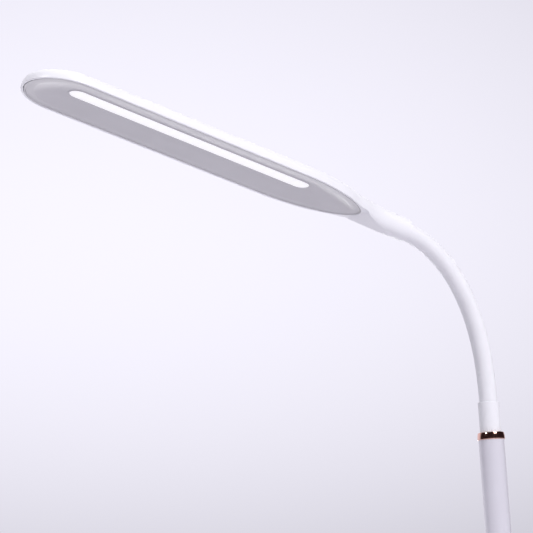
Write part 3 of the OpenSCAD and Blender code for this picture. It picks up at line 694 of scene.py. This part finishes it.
def shell_half(z, skin):
    """Half width of the shell: the collar, the body's taper or the rim's lip, blended."""
    taper = within((TAPER_END - z) / (TAPER_LENGTH + NOSE_LENGTH))
    body = (RIM_HALF + LIP_WIDTH - EDGE_BLEND) * (1 - taper**BODY_POWER) ** (1 / BODY_POWER)
    edge = rim_half(z) + LIP_WIDTH if z > RIM_START else 0.0
    half = soft_max(COLLAR_RADIUS, soft_max(body, edge, EDGE_BLEND), COLLAR_BLEND)
    return skin_size(z, skin, BORE_RADIUS, half)


def crown_at(z, skin):
    """Height of the shell's top above the neck's axis."""
    full = mix(CROWN, TIP_CROWN, within((z - TAPER_END) / (TIP_START - TAPER_END)))
    top = mix(COLLAR_RADIUS + COLLAR_RISE, full, ease((z - RISE_START) / RISE_LENGTH))
    return skin_size(z, skin, BORE_RADIUS, top)


def crease_at(z, skin):
    """Depth of the rim, or of the flat underside behind it, below the neck's axis."""
    deep = within((RIM_START - z) / FACET_LENGTH) ** FACET_POWER
    drop = mix(RIM_DROP, COLLAR_RADIUS * FLAT_SHARE - COLLAR_RISE, deep)
    return skin_size(z, skin, BORE_RADIUS * FLAT_SHARE, drop)


def section_point(z, share, skin):
    """Height and share of the half width, from the crease at 0 to the top at 1."""
    low = crease_at(z, skin)
    top = crown_at(z, skin)
    radius = skin_size(z, skin, BORE_RADIUS, COLLAR_RADIUS)
    middle = COLLAR_RISE * even(z, skin)
    a = mix(-math.asin((low + middle) / radius), math.pi / 2, share)
    round_up = middle + math.sin(a) * (top - middle if a > 0 else radius)
    b = math.pi / 2 * share
    cosine = max(0.0, math.cos(b))
    boxy_up = -low + (top + low) * math.sin(b) ** (2 / SECTION_POWER)
    boxy = ease((z - BOXY_START) / BOXY_LENGTH)
    up = mix(round_up, boxy_up, boxy)
    wide = mix(max(0.0, math.cos(a)), cosine ** (2 / SECTION_POWER), boxy)
    return up, wide


def shell_stations():
    """Each row of the shell: its side, or nothing on the tip, and its place or angle."""
    collar = [float(k) for k in range(COLLAR_ROWS)]
    taper = [taper_point(math.pi / 2 * (1 - j / TAPER_ROWS), 0)[1] for j in range(TAPER_ROWS + 1)]
    straight = [mix(TAPER_END, TIP_START, j / SIDE_ROWS) for j in range(1, SIDE_ROWS + 1)]
    along = collar + taper + straight
    rows = [(-1, z) for z in along]
    rows += [(0, math.pi * j / TIP_ROWS) for j in range(1, TIP_ROWS)]
    rows += [(1, z) for z in reversed(along)]
    return rows


def shell_row(row, skin):
    """One half section of a skin, from the rim or the flat's middle to the top."""
    side, value = row
    if side:
        z, half = value, shell_half(value, skin)
        outline, rim = (side * half, z), (side * rim_half(z), z)
    else:
        z = TIP_START
        wide, along = tip_point(value, LIP_WIDTH - skin * SHELL_WALL)
        outline = (-wide, along)
        wide, along = tip_point(value, 0)
        rim = (-wide, along)
    points = [in_head(-crease_at(z, skin), *rim)]
    for k in range(ARC_STEPS + 1):
        up, wide = section_point(z, k / ARC_STEPS, skin)
        points.append(in_head(up, outline[0] * wide, mix(z, outline[1], wide)))
    return points


def head_shell(material):
    """The moulded housing: outer and inner skins joined round the rim and at the collar."""
    rows = shell_stations()
    columns = ARC_STEPS + 2
    count = len(rows)
    shift = count * columns
    points = [p for skin in (0, 1) for row in rows for p in shell_row(row, skin)]
    skin = grid_faces(count, columns)
    faces = skin + [tuple(shift + i for i in reversed(f)) for f in skin]
    for r in range(count - 1):
        if all(side == 0 or z > RIM_START - 0.001 for side, z in rows[r : r + 2]):
            a, b = r * columns, (r + 1) * columns
            faces.append((a, a + shift, b + shift, b))
    for r in (0, count - 1):
        for c in range(columns - 1):
            a = r * columns + c
            faces.append((a, a + 1, a + 1 + shift, a + shift))
    return piece("head_shell_fine", points, faces, material, 0.3, 30.0)


def tray_outline(row, out):
    """Side and place of the tray's edge, moved out, for one row round the recess."""
    kind, value = row
    if kind == "taper":
        return taper_point(value[1], out)[0] * value[0], taper_point(value[1], out)[1]
    if kind == "side":
        return (RIM_HALF + out) * value[0], mix(TAPER_END, TIP_START, value[1])
    side, along = tip_point(value, out)
    return -side, along


def slot_outline(row, out):
    """Side and place on the strip's slot, moved out, for the same row."""
    kind, value = row
    radius = STRIP_HALF + out
    if kind == "taper":
        side, angle = value
        return radius * math.cos(angle) * side, STRIP_FROM + STRIP_HALF - radius * math.sin(angle)
    if kind == "side":
        return radius * value[0], mix(STRIP_FROM + STRIP_HALF, STRIP_TO - STRIP_HALF, value[1])
    return -radius * math.cos(value), STRIP_TO - STRIP_HALF + radius * math.sin(value)


def tray_rows():
    """Each row of the tray, once round the recess: its stretch, and its place or angle there."""
    taper = [math.pi / 2 * (1 - j / TAPER_ROWS) for j in range(TAPER_ROWS + 1)]
    straight = [j / SIDE_ROWS for j in range(1, SIDE_ROWS)]
    near = [("taper", (-1, a)) for a in taper] + [("side", (-1, t)) for t in straight]
    tip = [("tip", math.pi * j / TIP_ROWS) for j in range(TIP_ROWS + 1)]
    far = [("side", (1, t)) for t in reversed(straight)]
    far += [("taper", (1, a)) for a in reversed(taper[1:])]
    return near + tip + far


def tray_profile(row):
    """The tray's closed section at one row, from its edge over the top to the slot and back."""
    border_up = BORDER_RISE - RIM_DROP
    end_up = BEZEL_FACE + BEZEL_HEIGHT
    edge_top = SHELL_WALL - RIM_DROP + EDGE_RISE
    outer = tray_outline(row, -TRAY_GAP)
    wall = tray_outline(row, -TRAY_GAP - EDGE_WALL)
    border = tray_outline(row, -TRAY_GAP - EDGE_WALL - BORDER_WIDTH)
    crease = tray_outline(row, -TRAY_GAP - EDGE_WALL - BORDER_WIDTH + CREASE)
    bezel = slot_outline(row, BEZEL_WIDTH)
    slot = slot_outline(row, 0.0)
    ledge = slot_outline(row, LEDGE_WIDTH)

    def dish(v, lift):
        """The dish from the border, 0, to the bezel, 1: its face, or lifted to its back."""
        up = mix(border_up, end_up, math.sin(math.pi / 2 * v)) + lift
        return in_head(up, mix(border[0], bezel[0], v), mix(border[1], bezel[1], v))

    points = [in_head(-RIM_DROP, *outer), in_head(edge_top, *outer)]
    points += [in_head(edge_top, *wall), in_head(border_up + TRAY_WALL, *wall)]
    # the dish's back ends where the ledge of the strip begins
    points += [dish(k / DISH_STEPS, TRAY_WALL) for k in range(BACK_STEPS)]
    points += [in_head(STRIP_FACE + LEDGE_DEPTH, *ledge), in_head(STRIP_FACE + LEDGE_DEPTH, *slot)]
    points += [in_head(BEZEL_FACE, *slot), in_head(BEZEL_FACE, *bezel)]
    points += [dish(k / DISH_STEPS, 0.0) for k in range(DISH_STEPS, 0, -1)]
    points += [dish(DISH_START, 0.0), in_head(border_up, *crease)]
    points += [in_head(border_up, *wall), in_head(-RIM_DROP, *wall)]
    return points


def head_tray(material):
    """The recessed underside, carried once round the recess."""
    sections = [tray_profile(row) for row in tray_rows()]
    points = [p for section in sections for p in section]
    faces = grid_faces(len(sections), len(sections[0]), row_wrap=True, column_wrap=True)
    return piece("head_tray_fine", points, faces, material, 0.15, 35.0)


def headings_of(path):
    """The direction of a route at each of its points."""
    ends = list(zip([path[0]] + path[:-1], path[1:] + [path[-1]]))
    return [(b - a).normalized() for a, b in ends]


def lead_ends(sheath):
    """The lead below the neck, from the control board up the pole, and beyond it to the head."""
    board_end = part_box("control_board")[1].x
    # the height at which the lead runs across the weight
    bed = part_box("base_weight")[1].z + 2.4 * MM
    below = [Vector((board_end, 0, bed - 1.0 * MM)), Vector((board_end + 15 * MM, 0, bed - 0.2 * MM))]
    # the turn up the pole: along from its axis, and up from the bed
    turn = [(-12, 0), (-8, 0.3), (-4.5, 1.8), (-2, 4.4), (-0.5, 8), (0, 13)]
    below += [Vector((pole_centre.x + x * MM, 0, bed + z * MM)) for x, z in turn]
    below += [neck_foot - Vector((0, 0, 10 * MM)), neck_foot]
    low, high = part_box("lead_terminal")
    terminal = HEAD.inverted() @ ((low + high) / 2) / MM
    # the way through the collar and up to the terminal: up and along in the head
    climb = [(0, 0), (0, 10), (0, 18), (0.2, 26), (1.2, 34), (2.8, 42), (4.6, 50)]
    climb += [(terminal.x - 0.5, 58), (terminal.x, terminal.z - 10.5), (terminal.x, terminal.z - 4.5)]
    beyond = [in_head(up, 0, along) for up, along in climb]
    for name, path, body in (("stand_lead", below, "stand"), ("head_lead", beyond, "head")):
        made = tube(name, path, headings_of(path), LEAD_RADIUS, 0, sheath, LEAD_SIDES)
        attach(made, body)
        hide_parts("lamp_lead")


# ======================= pole =======================


def rounded(corner, radius, start, end, steps=6):
    """An outline's rounded corner about a centre, from one angle to another in degrees."""
    turns = [math.radians(mix(start, end, k / steps)) for k in range(steps + 1)]
    return [(corner[0] + radius * math.cos(a), corner[1] + radius * math.sin(a)) for a in turns]


def ring_piece(material):
    """The polished ring between pole and ferrule, swelling softly from its top."""
    low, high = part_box("accent_ring")
    outer = (high.x - low.x) / 2 / MM
    height = (high.z - low.z) / MM
    bore = 6.55
    foot, edge = 0.35, 0.4  # radii of the lower and the upper edge
    shoulder, swell = 3.6, 12.0  # height and radius of the soft shoulder under the upper edge
    turn = math.asin((shoulder - edge) / (swell - edge))
    inset = (swell - edge) * math.cos(turn)
    outline = [(bore, 0.0)] + rounded((outer - foot, foot), foot, -90, 0)
    outline += rounded((outer - swell, height - shoulder), swell, 0, math.degrees(turn), 12)
    outline += rounded((outer - swell + inset, height - edge), edge, math.degrees(turn), 90)
    outline.append((bore, height))
    made = lathe("ring_fine", outline, pole_centre + Vector((0, 0, low.z)), material)
    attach(made, "stand")
    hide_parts("accent_ring")


def ferrule_piece(material):
    """The lower ferrule, with a rounded lip where the neck comes out."""
    outer = (ferrule_high.x - ferrule_low.x) / 2 / MM
    height = (ferrule_high.z - ferrule_low.z) / MM
    bore, edge = 6.5, 0.6
    outline = [(bore, 0.0), (outer, 0.0)]
    outline += rounded((outer - edge, height - edge), edge, 0, 90)
    outline += [(bore + 0.15, height), (bore, height - 0.15)]
    made = lathe("ferrule_fine", outline, pole_centre + Vector((0, 0, ferrule_low.z)), material)
    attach(made, "stand")
    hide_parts("neck_ferrule")


# ======================= stage, camera and light =======================

# a long lens from below and from the side; angles in degrees, distance in millimetres, and the
# ring's middle placed by its spot in a frame of FRAME_PIXELS a side
VIEW_TURN = -36.0
VIEW_RISE = -9.95
VIEW_ROLL = -3.444
VIEW_DISTANCE = 1385.3
FOCAL_PIXELS = 2000.0
FRAME_PIXELS = 533.0
RING_PIXEL = (491.018, 436.288)
SENSOR = 36.0
PALE = (0.86, 0.84, 0.93)


def view_axes():
    """The camera's right, its up and the direction from the lamp back to it."""
    a, e = math.radians(VIEW_TURN), math.radians(VIEW_RISE)
    roll = math.radians(VIEW_ROLL)
    back = Vector((math.sin(a) * math.cos(e), -math.cos(a) * math.cos(e), math.sin(e)))
    level = Vector((math.cos(a), math.sin(a), 0))
    upright = back.cross(level)
    right = level * math.cos(roll) + upright * math.sin(roll)
    up = upright * math.cos(roll) - level * math.sin(roll)
    return right, up, back


def place_camera():
    """The camera, with the middle of the ring at its spot in the frame."""
    right, up, back = view_axes()
    low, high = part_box("accent_ring")
    ring_centre = (low + high) / 2
    across = (RING_PIXEL[0] - FRAME_PIXELS / 2) * VIEW_DISTANCE / FOCAL_PIXELS
    rise = -(RING_PIXEL[1] - FRAME_PIXELS / 2) * VIEW_DISTANCE / FOCAL_PIXELS
    place = ring_centre + (VIEW_DISTANCE * back - across * right - rise * up) * MM
    lens = bpy.data.cameras.new("camera")
    lens.sensor_width = SENSOR
    lens.lens = FOCAL_PIXELS / FRAME_PIXELS * SENSOR
    lens.clip_end = 100.0
    made = bpy.data.objects.new("camera", lens)
    turn = Matrix((right, up, back)).transposed().to_4x4()
    made.matrix_world = Matrix.Translation(place) @ turn
    bpy.context.scene.collection.objects.link(made)
    bpy.context.scene.camera = made


def softbox(name, place, aim, size, power, spread=180.0):
    """A rectangular soft light of size (width, height) in metres, turned to face a point."""
    light = bpy.data.lights.new(name, "AREA")
    light.shape = "RECTANGLE"
    light.size, light.size_y = size
    light.energy = power
    light.spread = math.radians(spread)
    made = bpy.data.objects.new(name, light)
    made.location = place
    made.rotation_euler = (Vector(aim) - Vector(place)).to_track_quat("-Z", "Y").to_euler()
    bpy.context.scene.collection.objects.link(made)


def floor():
    """A pale floor that keeps the lamp's shadow and fades into the backdrop, open from below."""
    s = shader("floor")
    speck = s.noise(60.0, 3.0, 0.5)
    colour = s.mix(speck, linear(232, 230, 235), linear(236, 234, 239))
    sockets = {"Base Color": colour, "Roughness": 0.75 + 0.05 * speck}
    ground = s.node("ShaderNodeBsdfPrincipled", None, sockets)
    distance = s.node("ShaderNodeVectorMath", {"operation": "LENGTH"}, {0: s.place()}, "Value")
    path = s.node("ShaderNodeLightPath", out="Is Camera Ray")
    far = path * s.share(distance, 0.5, 1.9)
    pale = s.node("ShaderNodeEmission", None, {"Color": PALE, "Strength": 1.0})
    upper = s.node("ShaderNodeMixShader", None, {0: far, 1: ground, 2: pale})
    clear = s.node("ShaderNodeBsdfTransparent")
    under = s.node("ShaderNodeNewGeometry", out="Backfacing")
    both = s.node("ShaderNodeMixShader", None, {0: under, 1: upper, 2: clear})
    s.node("ShaderNodeOutputMaterial", None, {"Surface": both})
    reach = 8.0
    corners = [(-reach, -reach, 0), (reach, -reach, 0), (reach, reach, 0), (-reach, reach, 0)]
    mesh = bpy.data.meshes.new("floor")
    mesh.from_pydata(corners, [], [(0, 1, 2, 3)])
    mesh.materials.append(s.owner)
    made = bpy.data.objects.new("floor", mesh)
    bpy.context.scene.collection.objects.link(made)


def studio():
    """A pale lavender-white backdrop that fades downwards; gloss also shows a dim room in front."""
    world = bpy.data.worlds.new("studio")
    bpy.context.scene.world = world
    s = Shader(world)
    right, up, back = view_axes()
    reach = FRAME_PIXELS / 2 / FOCAL_PIXELS
    heading = s.node("ShaderNodeTexCoord", out="Generated")
    across = (s.dot(heading, right) / reach).clipped(-1.2, 1.2)
    rise = (s.dot(heading, up) / reach).clipped(-1.2, 1.2)
    # brightest left of the middle, and falling off towards the top and the bottom
    level = 0.918 - 0.046 * across + 0.042 * rise - 0.034 * across * across
    level = level + rise * rise * (0.034 * rise - 0.144)
    wall = s.mix(level, (0.0, 0.0, 0.0), (1.023, 1.0, 1.114))
    ahead = s.dot(heading, back)
    backdrop = s.mix(s.share(ahead, -0.97, -0.9), wall, PALE)
    path = s.node("ShaderNodeLightPath", out="Is Camera Ray")
    gloss = s.node("ShaderNodeLightPath", out="Is Glossy Ray")
    through = s.node("ShaderNodeLightPath", out="Is Transmission Ray")
    # the dim room reaches further round on the right
    lopsided = ahead + 0.3 * s.dot(heading, right)
    dim = s.share(lopsided, -0.8, -0.45) * (1 - path)
    seen = s.mix(dim, backdrop, (0.022, 0.012, 0.015))
    shown = (path + gloss + through).clipped()
    room = s.node("ShaderNodeBackground", None, {"Color": (0.96, 0.95, 1.0), "Strength": 0.48})
    picture = s.node("ShaderNodeBackground", None, {"Color": seen, "Strength": 1.0})
    both = s.node("ShaderNodeMixShader", None, {0: shown, 1: room, 2: picture})
    s.node("ShaderNodeOutputWorld", None, {"Surface": both})


def lights():
    """The soft lights: place, aim, width and height in metres, then watts and spread in degrees."""
    softbox("key", (0.06, -1.25, 1.3), (0.0, 0, 0.38), (0.5, 0.6), 15.5)
    softbox("side", (-1.3, -0.05, 1.2), (0.0, 0, 0.38), (0.24, 0.36), 4.0)
    softbox("top", (-0.2, 0.4, 1.9), (-0.1, 0, 0.4), (1.4, 1.0), 2.0)
    softbox("low back", (0.5, 1.15, 0.16), (-0.1, 0, 0.48), (1.2, 0.2), 0.2, 40.0)


# ======================= assembly =======================

# the finish of each piece that has one of its own
FINISHES = {
    "base_cover": lambda: moulded_white("base_white", linear(240, 239, 246), 0.24),
    "power_button": lambda: moulded_white("button_white", linear(236, 235, 243), 0.34),
    "switch_plunger": lambda: moulded_white("plunger_white", linear(228, 228, 232), 0.4),
    "light_frame": lambda: moulded_white("frame_white", linear(230, 230, 234), 0.4),
    "lead_terminal": lambda: moulded_white("terminal_white", linear(232, 231, 226), 0.42),
    "pole": lacquer_white,
    "diffuser": lit_opal,
    "leds": phosphor,
    "led_board": lambda: board_mask("board_white", (0.78, 0.78, 0.76), (0.7, 0.7, 0.68)),
    "control_board": lambda: board_mask("board_green", (0.012, 0.11, 0.05), (0.03, 0.2, 0.09)),
    "base_weight": cast_iron,
    "foot_pad": foot_rubber,
    "base_plate": lambda: plated_steel("plate_steel"),
    "inlet_lead": lead_sheath,
}
# the finishes that several pieces share
SHARED = {
    turned_aluminium: ("heat_plate", "neck_anchor", "pole_bush"),
    dark_moulding: ("board_chips", "inlet_socket", "switch_body"),
    lambda: plated_steel("fastener_steel"): (
        "plate_screws",
        "board_screws",
        "light_screws",
        "pole_plug",
        "pole_washer",
        "pole_nut",
        "bush_set_screw",
    ),
    lambda: plated_steel("core_steel", (0.5, 0.51, 0.53), 0.35): tuple(
        f"core_{k:02d}" for k in range(1, 14)
    ),
}


def coat(name, material):
    """Gives a piece of the model one finish all over."""
    nodes[name].data.materials.clear()
    nodes[name].data.materials.append(material)


def finish_nodes():
    """The finishes of the pieces whose shape is already final in the model."""
    for name, finish in FINISHES.items():
        coat(name, finish())
    for finish, names in SHARED.items():
        material = finish()
        for name in names:
            coat(name, material)


def dress_head():
    """The housing and the recessed underside of the head."""
    shell = head_shell(moulded_white("head_white", linear(243, 242, 249), 0.3))
    tray = head_tray(tray_grey())
    for made, node, slot in (
        (shell, "head_shell", "white_head"),
        (tray, "head_tray", "grey_tray"),
    ):
        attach(made, "head")
        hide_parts(node)


place_camera()
studio()
lights()
floor()
finish_nodes()
dress_head()
sheath = lead_sheath()
neck_pieces(silicone_white(), sheath)
lead_ends(sheath)
ring_piece(rose_gold())
ferrule_piece(moulded_white("ferrule_white", linear(240, 239, 246), 0.32))

bpy.context.scene.view_settings.view_transform = "Standard"
